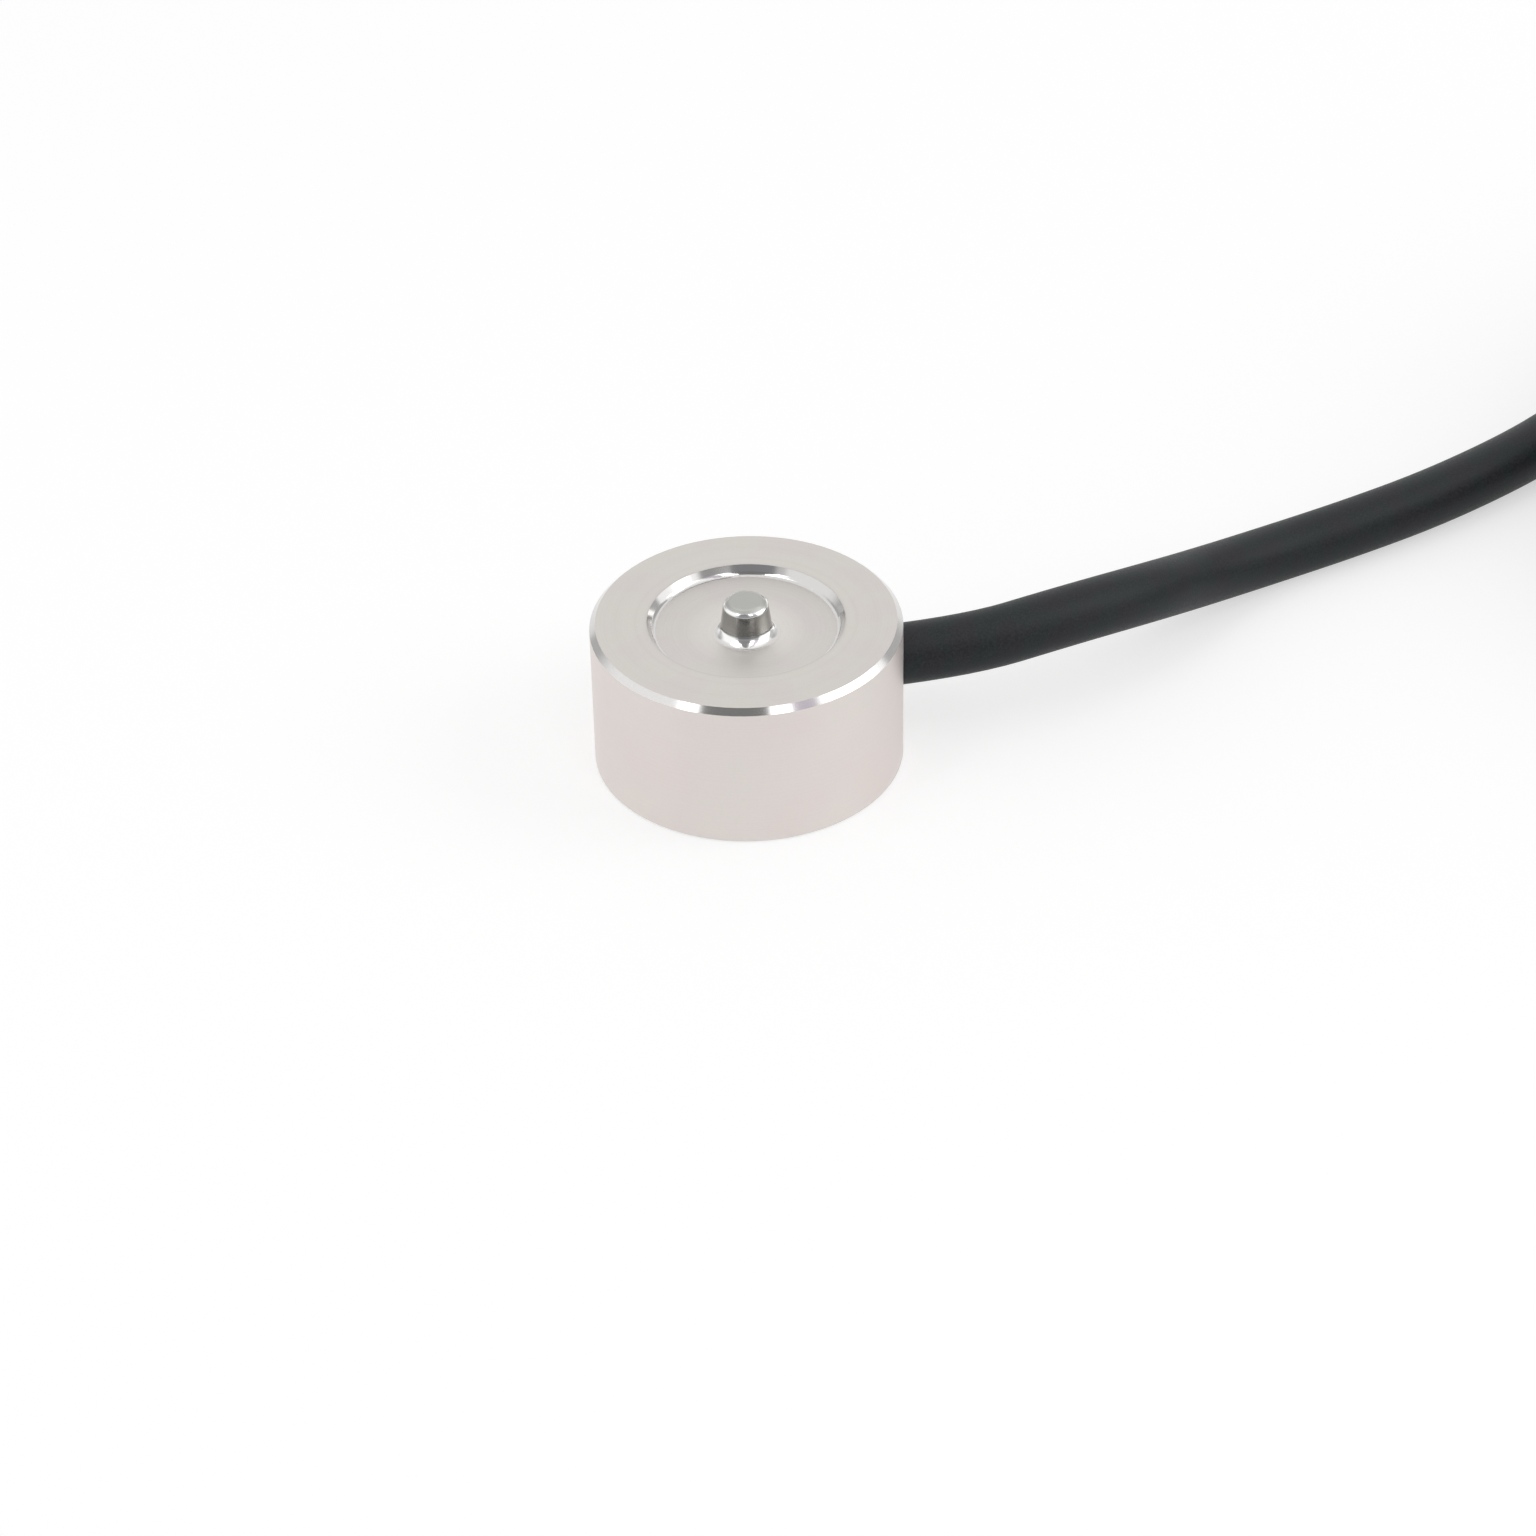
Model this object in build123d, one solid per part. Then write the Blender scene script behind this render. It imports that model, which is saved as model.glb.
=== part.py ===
from build123d import *
from math import cos, degrees, radians, sin, tan
import os

os.makedirs("parts", exist_ok=True)

# Miniature compression load cell, in millimetres.
# The origin is the centre of the base, +Z runs up the axis to the load button, and the cable leaves along +X.

# Turned body: outer ring, diaphragm dished towards the middle of its recess, and load button, in one piece
BODY_DIAMETER = 15.0
RING_HEIGHT = 7.65
RING_WIDTH = 2.75
RING_CHAMFER = 0.28
BASE_EDGE = 0.1
RECESS_DEPTH = 0.47
RECESS_WALL = 0.33
RECESS_FILLET = 0.15
DIAPHRAGM_DISH = 0.26
DIAPHRAGM_THICKNESS = 0.55

# Load button above the diaphragm, and the stiff boss below it
BUTTON_RISE = 1.87
BUTTON_FLAT_DIAMETER = 1.6
BUTTON_RIM_DIAMETER = 2.17
BUTTON_RIM_DROP = 0.25
BUTTON_ROOT_DIAMETER = 2.6
BUTTON_FILLET = 0.35
BUTTON_EDGE_ROUND = 0.25
BOSS_DIAMETER = 2.6
BOSS_LENGTH = 0.7
BOSS_FILLET = 0.2

# Chambers cut from below: gauge chamber, board chamber and cover seat
CHAMBER_WALL = 2.5
CHAMBER_FILLET = 0.25
BOARD_LEDGE = 0.35
BOARD_HOLE_CLEARANCE = 0.2
BOARD_THICKNESS = 0.6
BOARD_SPACE = 0.7
COVER_LEDGE = 0.55
COVER_THICKNESS = 0.8
COVER_EDGE = 0.12
COVER_SETBACK = 0.1
SEAT_CLEARANCE = 0.05
GLUE_GAP = 0.02

# Cable, its bore in the ring and the glue round it
CABLE_DIAMETER = 3.0
EXIT_HEIGHT = 4.7
SEAL_THICKNESS = 0.1

# Insulated cores, in the cell and at the free end
CORE_DIAMETER = 0.8
CORE_OFFSET = 0.5
STRAND_DIAMETER = 0.4
CORE_BEND = 0.6
CORE_STRIP = 0.5
CORE_HOLE_INSET = 0.65
CORE_ROW_SPACING = 1.0
CORE_COLOURS = ("red", "black", "green", "white")

# Foil strain gauges under the diaphragm
GAUGE_LENGTH = 1.5
GAUGE_WIDTH = 1.3
FILM_THICKNESS = 0.08
FOIL_THICKNESS = 0.03
STRAND_COUNT = 5
FOIL_LINE = 0.08
FOIL_PITCH = 0.2
FOIL_RUN = 0.75
PAD_LENGTH = 0.28
PAD_WIDTH = 0.42
GAUGE_CLEARANCE = 0.05
GAUGE_ANGLES = (45, 135, 225, 315)

# Enamelled wires from the gauges, and what is soldered to the board
GAUGE_WIRE_DIAMETER = 0.14
WIRE_DROP = 1.2
WIRE_SLANT = 1.0
WIRE_JOG = 0.35
WIRE_CLEARANCE = 0.05
COPPER_THICKNESS = 0.05
CORE_PAD_DIAMETER = 0.84
WIRE_PAD_DIAMETER = 0.56
CHIP_PAD_CORNER = 0.1
SOLDER_MARGIN = 0.05
SOLDER_HEIGHT = 0.25
SOLDER_SHOULDER = 0.8
SOLDER_TIP = 1.4
CHIP_LENGTH = 1.0
CHIP_WIDTH = 0.5
CHIP_HEIGHT = 0.35
CHIP_INSET = 1.75
CHIP_CAP = 0.25
CHIP_CAP_SWELL = 0.03
CHIP_ANGLES = {"zero_resistor": 90, "span_resistor_1": 180, "span_resistor_2": 270}

# Cable route after its straight start in the bore: out of the ring, down to the surface and along it
CABLE_ROUTE = (
    (10.3, 0.0, EXIT_HEIGHT),
    (16.0, 1.8, 4.7),
    (20.3, 4.1, 3.9),
    (23.9, 7.3, 2.3),
    (28.2, 9.8, 1.5),
    (33.0, 11.5, 1.5),
    (37.9, 13.5, 1.5),
)
ARC_SHARE = 0.45

# Put-away coil: rows of spiral turns a cable diameter apart, lying on its two ties
COIL_CENTRE = (73.09, 8.6)
COIL_INNER_TURN = 11.5
COIL_TURNS_PER_ROW = 4
COIL_ROWS = 3
COIL_ENTRY_ANGLE = 125.0
COIL_LEAD_IN = 16.0
COIL_APPROACH = 4.15
COIL_CORNER = 1.4
TAIL_ROUTE = (
    (79.8, -0.9, 8.3),
    (75.2, -2.9, 8.8),
    (70.1, -3.0, 10.1),
    (65.1, -1.2, 11.3),
    (61.2, 2.2, 11.7),
    (58.5, 6.6, 11.72),
    (57.4, 12.1, 11.72),
)
TIE_ANGLES = (50.0, -35.0)
TIE_THICKNESS = 0.8
TIE_WIDTH = 2.5
TIE_CLEARANCE = 0.1
TIE_HEAD = (5.0, 4.4, 3.0)
TIE_HEAD_CORNER = 0.7
TIE_HEAD_ROUND = 0.4
TIE_TAIL = 2.2
TIE_HEAD_RADIUS = 20.0

# Free end: shrink sleeve, cores with tinned ends and the drain wire, all lying on the coil
SLEEVE_LENGTH = 7.0
SLEEVE_WALL = 0.38
SLEEVE_OVERLAP = 3.2
SLEEVE_CLEAR = 0.6
LEAD_FAN = (21.9, 19.6, 16.9, 14.3)
LEAD_ANGLES = (142.0, 120.0, 98.0)
LEAD_SPREAD = 0.4
TIP_LENGTH = 5.0
DRAIN_DIAMETER = 0.6
DRAIN_FAN = 18.25

# Heights and radii that follow from the sizes above
BODY_RADIUS = BODY_DIAMETER / 2
RECESS_RADIUS = BODY_RADIUS - RING_WIDTH
RECESS_FLOOR = RING_HEIGHT - RECESS_DEPTH
BUTTON_FOOT = RECESS_FLOOR - DIAPHRAGM_DISH
DIAPHRAGM_BOTTOM = BUTTON_FOOT - DIAPHRAGM_THICKNESS
BUTTON_TOP = BUTTON_FOOT + BUTTON_RISE
BOSS_RADIUS = BOSS_DIAMETER / 2
CHAMBER_RADIUS = BODY_RADIUS - CHAMBER_WALL
BOARD_RADIUS = CHAMBER_RADIUS + BOARD_LEDGE
COVER_RADIUS = BOARD_RADIUS + COVER_LEDGE
COVER_TOP = COVER_SETBACK + COVER_THICKNESS
BOARD_BOTTOM = COVER_TOP + BOARD_SPACE
BOARD_TOP = BOARD_BOTTOM + BOARD_THICKNESS
CABLE_RADIUS = CABLE_DIAMETER / 2
BORE_RADIUS = CABLE_RADIUS + SEAL_THICKNESS
INNER_GAUGE_RADIUS = BOSS_RADIUS + BOSS_FILLET + GAUGE_CLEARANCE + GAUGE_LENGTH / 2
OUTER_GAUGE_RADIUS = CHAMBER_RADIUS - CHAMBER_FILLET - GAUGE_CLEARANCE - GAUGE_LENGTH / 2
COPPER_BOTTOM = BOARD_BOTTOM - COPPER_THICKNESS
COIL_BOTTOM = TIE_THICKNESS
COIL_HEIGHT = COIL_ROWS * CABLE_DIAMETER
COIL_TOP = COIL_BOTTOM + COIL_HEIGHT
COIL_OUTER_TURN = COIL_INNER_TURN + COIL_TURNS_PER_ROW * CABLE_DIAMETER
COIL_WIDTH = COIL_OUTER_TURN - COIL_INNER_TURN + CABLE_DIAMETER
COIL_MIDDLE = (COIL_OUTER_TURN + COIL_INNER_TURN) / 2


def polar(radius, angle, height=0.0):
    """A point given by its distance from the axis, its angle and its height."""
    return Vector(radius * cos(radians(angle)), radius * sin(radians(angle)), height)


def turned(corners):
    """A solid turned about Z from (radius, height) corners, some of them with a third value, their fillet."""
    with BuildPart() as part:
        with BuildSketch(Plane.XZ) as section:
            with BuildLine():
                Polyline(*[corner[:2] for corner in corners], close=True)
            make_face()
            for radius, height, *rounding in corners:
                if rounding:
                    nearest = section.vertices().sort_by_distance(Vector(radius, height))[0]
                    fillet(nearest, rounding[0])
        revolve(axis=Axis.Z)
    return part.part


def arc_radii(points):
    """The largest even arc at each corner of a route: a share of the shorter run over tan of half the turn."""
    radii = []
    for before, corner, after in zip(points, points[1:], points[2:]):
        arrive = corner - before
        leave = after - corner
        half_turn = radians(arrive.get_angle(leave)) / 2
        radii.append(ARC_SHARE * min(arrive.length, leave.length) / tan(half_turn))
    return radii


def wire_along(points, diameter, radii):
    """A round wire or cable along straight runs joined by tangent arcs."""
    path = FilletPolyline(*points, radius=radii)
    start = Plane(origin=points[0], z_dir=points[1] - points[0])
    return sweep(start * Circle(diameter / 2), path=path)


def rod(start, end, diameter):
    """A straight round rod between two points."""
    along = end - start
    return extrude(Plane(origin=start, z_dir=along) * Circle(diameter / 2), amount=along.length)


def exit_line(distance):
    """A point on the line along which the cable leaves the cell, at a distance from the axis."""
    return Vector(distance, 0, EXIT_HEIGHT)


def sensor_body():
    """Ring, diaphragm, button and boss turned from one bar, with the cable bore through the ring."""
    board_seat = BOARD_RADIUS + SEAT_CLEARANCE
    cover_seat = COVER_RADIUS + SEAT_CLEARANCE
    body = turned([
        (0, BUTTON_TOP),
        (BUTTON_FLAT_DIAMETER / 2, BUTTON_TOP, BUTTON_EDGE_ROUND),
        (BUTTON_RIM_DIAMETER / 2, BUTTON_TOP - BUTTON_RIM_DROP, BUTTON_EDGE_ROUND),
        (BUTTON_ROOT_DIAMETER / 2, BUTTON_FOOT, BUTTON_FILLET),
        (RECESS_RADIUS - RECESS_WALL, RECESS_FLOOR, RECESS_FILLET),
        (RECESS_RADIUS, RING_HEIGHT),
        (BODY_RADIUS - RING_CHAMFER, RING_HEIGHT),
        (BODY_RADIUS, RING_HEIGHT - RING_CHAMFER),
        (BODY_RADIUS, BASE_EDGE),
        (BODY_RADIUS - BASE_EDGE, 0),
        (cover_seat, 0),
        (cover_seat, COVER_TOP),
        (board_seat, COVER_TOP),
        (board_seat, BOARD_TOP),
        (CHAMBER_RADIUS, BOARD_TOP),
        (CHAMBER_RADIUS, DIAPHRAGM_BOTTOM, CHAMBER_FILLET),
        (BOSS_RADIUS, DIAPHRAGM_BOTTOM, BOSS_FILLET),
        (BOSS_RADIUS, DIAPHRAGM_BOTTOM - BOSS_LENGTH),
        (0, DIAPHRAGM_BOTTOM - BOSS_LENGTH),
    ])
    return body - rod(exit_line(CHAMBER_RADIUS / 2), exit_line(BODY_DIAMETER), 2 * BORE_RADIUS)


def base_cover():
    """Flat disc glued into the base, set back so that only the ring bears."""
    return turned([
        (0, COVER_SETBACK),
        (COVER_RADIUS - COVER_EDGE, COVER_SETBACK),
        (COVER_RADIUS, COVER_SETBACK + COVER_EDGE),
        (COVER_RADIUS, COVER_TOP),
        (0, COVER_TOP),
    ])


def cable_seal():
    """Hard glue that fills the gap between the cable and its bore, flush with the ring outside."""
    start = exit_line(CHAMBER_RADIUS)
    end = exit_line(BODY_DIAMETER)
    sleeve = rod(start, end, 2 * (BORE_RADIUS - GLUE_GAP)) - rod(start, end, CABLE_DIAMETER + 2 * GLUE_GAP)
    return sleeve & Pos(0, 0, RING_HEIGHT / 2) * Cylinder(BODY_RADIUS, RING_HEIGHT)


def gauge_place(number):
    """Under the diaphragm, X outwards: two gauges lie by the boss and two by the ring."""
    radius = INNER_GAUGE_RADIUS if number % 2 == 0 else OUTER_GAUGE_RADIUS
    angle = GAUGE_ANGLES[number]
    return Pos(*polar(radius, angle, DIAPHRAGM_BOTTOM)) * Rot(0, 0, angle)


def pad_side(number):
    """The solder pads face the middle of the chamber: outwards on the inner gauges, inwards on the outer."""
    return 1 if number % 2 == 0 else -1


def pad_places(number):
    """Centres of the two solder pads of a gauge, in its own plane."""
    x = pad_side(number) * (GAUGE_LENGTH / 2 - PAD_LENGTH / 2 - FOIL_LINE)
    y = PAD_WIDTH / 2 + FOIL_LINE
    return ((x, y), (x, -y))


def gauge_film(number):
    """Backing film of one strain gauge."""
    sheet = extrude(Rectangle(GAUGE_LENGTH, GAUGE_WIDTH), amount=-FILM_THICKNESS)
    return gauge_place(number) * Pos(0, 0, -GLUE_GAP) * sheet


def gauge_grid(number):
    """Measuring foil of one strain gauge: fine strands joined by loops, ending in two solder pads."""
    side = pad_side(number)
    pads = pad_places(number)
    pad_edge = abs(pads[0][0]) - PAD_LENGTH / 2
    near = side * (pad_edge - FOIL_LINE / 2)
    far = near - side * FOIL_RUN
    middle = (near + far) / 2
    foil = Sketch()
    for strand in range(STRAND_COUNT + 1):
        y = (strand - STRAND_COUNT / 2) * FOIL_PITCH
        foil += Pos(middle, y) * Rectangle(FOIL_RUN + FOIL_LINE, FOIL_LINE)
    for loop in range(STRAND_COUNT):
        x = far if loop % 2 == 0 else near
        y = (loop + 0.5 - STRAND_COUNT / 2) * FOIL_PITCH
        foil += Pos(x, y) * Rectangle(FOIL_LINE, FOIL_PITCH + FOIL_LINE)
    for x, y in pads:
        foil += Pos(x, y) * Rectangle(PAD_LENGTH, PAD_WIDTH)
    pad_reach = (STRAND_COUNT * FOIL_PITCH + FOIL_LINE) / 2
    link = PAD_LENGTH / 2 + FOIL_LINE
    for sign in (1, -1):
        x = side * (pad_edge + link / 2 - FOIL_LINE)
        foil += Pos(x, sign * (pad_reach - FOIL_LINE / 2)) * Rectangle(link, FOIL_LINE)
    place = gauge_place(number) * Pos(0, 0, -GLUE_GAP - FILM_THICKNESS)
    return place * extrude(foil, amount=-FOIL_THICKNESS)


def wire_hole_place(number, pad):
    """Where a gauge's wire goes through the board: a jog further from its gauge than its pad."""
    x, y = pad
    spot = gauge_place(number) * Pos(x + pad_side(number) * WIRE_JOG, y, 0)
    return Vector(spot.position.X, spot.position.Y, BOARD_BOTTOM)


def core_holes():
    """Board holes for the four cores: two close to the ring and two further in."""
    outer = CHAMBER_RADIUS - CORE_HOLE_INSET
    inner = outer - CORE_ROW_SPACING
    return [Vector(x, y, BOARD_BOTTOM) for x in (outer, inner) for y in (CORE_OFFSET, -CORE_OFFSET)]


def wire_holes():
    """Board holes for the eight gauge wires."""
    numbers = range(len(GAUGE_ANGLES))
    return [wire_hole_place(number, pad) for number in numbers for pad in pad_places(number)]


def gauge_wires():
    """Eight enamelled wires, each from a gauge pad down through the board."""
    top = DIAPHRAGM_BOTTOM - GLUE_GAP - FILM_THICKNESS - FOIL_THICKNESS
    bottom = COPPER_BOTTOM - SOLDER_HEIGHT / 2
    wires = []
    for number in range(len(GAUGE_ANGLES)):
        for pad in pad_places(number):
            spot = (gauge_place(number) * Pos(*pad, 0)).position
            hole = wire_hole_place(number, pad)
            points = [
                Vector(spot.X, spot.Y, top),
                Vector(spot.X, spot.Y, top - WIRE_DROP),
                Vector(hole.X, hole.Y, top - WIRE_DROP - WIRE_SLANT),
                Vector(hole.X, hole.Y, bottom),
            ]
            wires.append(wire_along(points, GAUGE_WIRE_DIAMETER, [WIRE_JOG] * 2))
    return Compound(children=wires)


def terminal_board():
    """Ring-shaped circuit board under the gauges, pressed against the shoulder of its chamber."""
    hole_radius = BOSS_RADIUS + BOARD_HOLE_CLEARANCE
    board = Cylinder(BOARD_RADIUS, BOARD_THICKNESS) - Cylinder(hole_radius, BOARD_THICKNESS)
    board = Pos(0, 0, BOARD_BOTTOM + BOARD_THICKNESS / 2) * board
    for hole in core_holes():
        board -= rod(hole, hole + Vector(0, 0, BOARD_THICKNESS), STRAND_DIAMETER + 2 * WIRE_CLEARANCE)
    for hole in wire_holes():
        board -= rod(hole, hole + Vector(0, 0, BOARD_THICKNESS), GAUGE_WIRE_DIAMETER + 2 * WIRE_CLEARANCE)
    return board


def chip_place(angle):
    """Under the board, with the chip's length across the radius."""
    return Pos(*polar(BOARD_RADIUS - CHIP_INSET, angle, COPPER_BOTTOM)) * Rot(0, 0, angle + 90)


def board_copper():
    """Copper on the underside of the board: a land for each wire and each end of each chip."""
    land = Vector(0, 0, -COPPER_THICKNESS)
    copper = []
    for hole in core_holes():
        ring = rod(hole, hole + land, CORE_PAD_DIAMETER)
        copper.append(ring - rod(hole, hole + land, STRAND_DIAMETER + 2 * WIRE_CLEARANCE))
    for hole in wire_holes():
        ring = rod(hole, hole + land, WIRE_PAD_DIAMETER)
        copper.append(ring - rod(hole, hole + land, GAUGE_WIRE_DIAMETER + 2 * WIRE_CLEARANCE))
    for angle in CHIP_ANGLES.values():
        for end in (1, -1):
            pad = RectangleRounded(CHIP_LENGTH / 2, CHIP_WIDTH + CHIP_CAP, CHIP_PAD_CORNER)
            place = chip_place(angle) * Pos(end * CHIP_LENGTH / 2, 0, 0)
            copper.append(place * extrude(pad, amount=COPPER_THICKNESS))
    return Compound(children=copper)


def solder_joint(hole, pad_diameter, wire_diameter):
    """A cone of solder with a rounded tip round one wire end, below the board."""
    base = pad_diameter / 2 - SOLDER_MARGIN
    wire = wire_diameter / 2 + GLUE_GAP
    cone = turned([
        (wire, 0),
        (base, 0),
        (base * SOLDER_SHOULDER, -SOLDER_HEIGHT / 2),
        (wire * SOLDER_TIP, -SOLDER_HEIGHT),
        (0, -SOLDER_HEIGHT),
        (0, -SOLDER_HEIGHT / 2 - GLUE_GAP),
        (wire, -SOLDER_HEIGHT / 2 - GLUE_GAP),
    ])
    return Pos(hole.X, hole.Y, COPPER_BOTTOM) * cone


def board_solder():
    """Solder joints of the four cores and the eight gauge wires."""
    joints = [solder_joint(hole, CORE_PAD_DIAMETER, STRAND_DIAMETER) for hole in core_holes()]
    joints += [solder_joint(hole, WIRE_PAD_DIAMETER, GAUGE_WIRE_DIAMETER) for hole in wire_holes()]
    return Compound(children=joints)


def chip_resistor(angle):
    """Surface-mounted resistor: a ceramic block between two raised end caps."""
    block = Box(CHIP_LENGTH - 2 * CHIP_CAP, CHIP_WIDTH, CHIP_HEIGHT - 2 * CHIP_CAP_SWELL)
    for end in (1, -1):
        cap = Box(CHIP_CAP, CHIP_WIDTH, CHIP_HEIGHT)
        block += Pos(end * (CHIP_LENGTH - CHIP_CAP) / 2, 0, 0) * cap
    return chip_place(angle) * Pos(0, 0, -CHIP_HEIGHT / 2) * block


def core_start(number):
    """Where core number leaves the end of the cable inside the cell: lower pair, then upper pair."""
    y = CORE_OFFSET if number % 2 == 0 else -CORE_OFFSET
    z = EXIT_HEIGHT + (CORE_OFFSET if number >= 2 else -CORE_OFFSET)
    return Vector(CHAMBER_RADIUS, y, z)


def inner_core(number):
    """Insulated core from the cable's end, bent down towards its hole in the board."""
    start = core_start(number)
    hole = core_holes()[number]
    corner = Vector(hole.X, start.Y, start.Z)
    end = Vector(hole.X, start.Y, BOARD_TOP + CORE_STRIP)
    return wire_along([start, corner, end], CORE_DIAMETER, [CORE_BEND])


def inner_core_ends():
    """Stripped and tinned ends of the four cores, through the board."""
    ends = []
    for hole in core_holes():
        top = Vector(hole.X, hole.Y, BOARD_TOP + CORE_STRIP)
        bottom = Vector(hole.X, hole.Y, COPPER_BOTTOM - SOLDER_HEIGHT / 2)
        ends.append(rod(top, bottom, STRAND_DIAMETER))
    return Compound(children=ends)


def coil_point(radius, angle, height):
    """A point given by its distance and angle from the middle of the coil."""
    return polar(radius, angle, height) + Vector(*COIL_CENTRE)


def coil_entry():
    """The straight way into the coil: its first point, the start of the lead-in, and where it meets the coil."""
    heading = polar(1, COIL_ENTRY_ANGLE - 90)
    touch = coil_point(COIL_OUTER_TURN, COIL_ENTRY_ANGLE, CABLE_RADIUS)
    start = touch - heading * COIL_LEAD_IN
    return start - heading * COIL_APPROACH, start, touch


def cable():
    """Cable from inside the ring to the coil."""
    points = [exit_line(CHAMBER_RADIUS)]
    points += [Vector(*point) for point in CABLE_ROUTE]
    points += coil_entry()[:2]
    radii = arc_radii(points)
    print("cable corner radii:", [round(radius, 1) for radius in radii])
    return wire_along(points, CABLE_DIAMETER, radii)


def cable_coil():
    """Outer shape of the coil, with its straight lead-in and the last stretch of cable on top."""
    section = Plane.XZ * Pos(COIL_MIDDLE, COIL_BOTTOM + COIL_HEIGHT / 2) * RectangleRounded(
        COIL_WIDTH, COIL_HEIGHT, COIL_CORNER)
    ring = Pos(*COIL_CENTRE, 0) * revolve(section, axis=Axis.Z)
    lead_in = rod(*coil_entry()[1:], CABLE_DIAMETER)
    tail = [Vector(*point) for point in TAIL_ROUTE]
    radii = arc_radii(tail)
    print("tail corner radii:", [round(radius, 1) for radius in radii])
    return ring + lead_in + wire_along(tail, CABLE_DIAMETER, radii)


def coil_tie(angle):
    """Cable tie round the coil: a band, its head on top and the trimmed end through the head."""
    inner_width = COIL_WIDTH + 2 * TIE_CLEARANCE
    inner_height = COIL_HEIGHT + TIE_CLEARANCE
    corner = COIL_CORNER - TIE_CLEARANCE
    outer = RectangleRounded(inner_width + 2 * TIE_THICKNESS, inner_height + 2 * TIE_THICKNESS, corner + TIE_THICKNESS)
    band = Plane.XZ * (outer - RectangleRounded(inner_width, inner_height, corner))
    middle = COIL_BOTTOM + inner_height / 2
    tie = Pos(COIL_MIDDLE, 0, middle) * extrude(band, amount=TIE_WIDTH / 2, both=True)
    length, width, height = TIE_HEAD
    head_bottom = COIL_TOP + TIE_CLEARANCE
    head = fillet(Box(length, width, height).edges().filter_by(Axis.Z), TIE_HEAD_CORNER)
    head = fillet(head.faces().sort_by(Axis.Z)[-1].edges(), TIE_HEAD_ROUND)
    tie += Pos(TIE_HEAD_RADIUS, 0, head_bottom + height / 2) * head
    tail_height = head_bottom + height / 2 + TIE_THICKNESS
    tail = Box(length + 2 * TIE_TAIL, TIE_WIDTH, TIE_THICKNESS)
    tie += Pos(TIE_HEAD_RADIUS - TIE_TAIL / 2, 0, tail_height) * tail
    return Pos(*COIL_CENTRE, 0) * Rot(0, 0, angle) * tie


def end_plane():
    """The cut end of the cable, facing the way the cable points."""
    before, end = [Vector(*point) for point in TAIL_ROUTE[-2:]]
    return Plane(origin=end, x_dir=Vector(0, 0, 1), z_dir=end - before)


def end_sleeve():
    """Shrink sleeve over the end of the cable and the start of the cores."""
    inner = CABLE_RADIUS + GLUE_GAP
    pipe = Circle(inner + SLEEVE_WALL) - Circle(inner)
    sleeve = Pos(0, 0, -SLEEVE_OVERLAP) * extrude(pipe, amount=SLEEVE_LENGTH)
    return end_plane() * sleeve


def lead_route(up, across, fan, diameter):
    """Route of a wire out of the sleeve and along the top of the coil, fanned out from its neighbours."""
    plane = end_plane()
    lie = COIL_TOP + diameter / 2 + GLUE_GAP
    leave = SLEEVE_LENGTH - SLEEVE_OVERLAP + SLEEVE_CLEAR
    points = [plane.from_local_coords(Vector(up, across, along)) for along in (0, leave)]
    for step, angle in enumerate(LEAD_ANGLES):
        points.append(coil_point(fan + step * LEAD_SPREAD, angle, lie))
    return points


def core_route(number):
    """The outer cores leave the sleeve as a square and lie side by side."""
    up = CORE_OFFSET if number in (1, 2) else -CORE_OFFSET
    across = -CORE_OFFSET if number < 2 else CORE_OFFSET
    return lead_route(up, across, LEAD_FAN[number], CORE_DIAMETER)


def outer_core(number):
    """Insulated core at the free end of the cable."""
    points = core_route(number)
    return wire_along(points, CORE_DIAMETER, arc_radii(points))


def drain_wire():
    """Tinned drain wire of the shield, from the middle of the cable."""
    points = lead_route(0, 0, DRAIN_FAN, DRAIN_DIAMETER)
    return wire_along(points, DRAIN_DIAMETER, arc_radii(points))


def outer_core_ends():
    """Stripped and tinned ends of the outer cores."""
    ends = []
    for number in range(len(CORE_COLOURS)):
        before, end = core_route(number)[-2:]
        direction = (end - before).normalized()
        ends.append(rod(end, end + direction * TIP_LENGTH, STRAND_DIAMETER))
    return Compound(children=ends)


parts = {
    "sensor_body": sensor_body(),
    "base_cover": base_cover(),
    "cable_seal": cable_seal(),
    "terminal_board": terminal_board(),
    "board_copper": board_copper(),
    "board_solder": board_solder(),
    "gauge_wires": gauge_wires(),
    "inner_core_ends": inner_core_ends(),
    "cable": cable(),
    "cable_coil": cable_coil(),
    "end_sleeve": end_sleeve(),
    "outer_core_ends": outer_core_ends(),
    "drain_wire": drain_wire(),
}
for number in range(len(GAUGE_ANGLES)):
    parts[f"gauge_film_{number + 1}"] = gauge_film(number)
    parts[f"gauge_grid_{number + 1}"] = gauge_grid(number)
for name, angle in CHIP_ANGLES.items():
    parts[name] = chip_resistor(angle)
for number, colour in enumerate(CORE_COLOURS):
    parts[f"inner_core_{colour}"] = inner_core(number)
    parts[f"outer_core_{colour}"] = outer_core(number)
for number, angle in enumerate(TIE_ANGLES):
    parts[f"coil_tie_{number + 1}"] = coil_tie(angle)

for name, shape in parts.items():
    export_step(shape, f"parts/{name}.step")
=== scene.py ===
from math import cos, pi, radians, sin, tan

import bpy
from mathutils import Matrix, Vector


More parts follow.
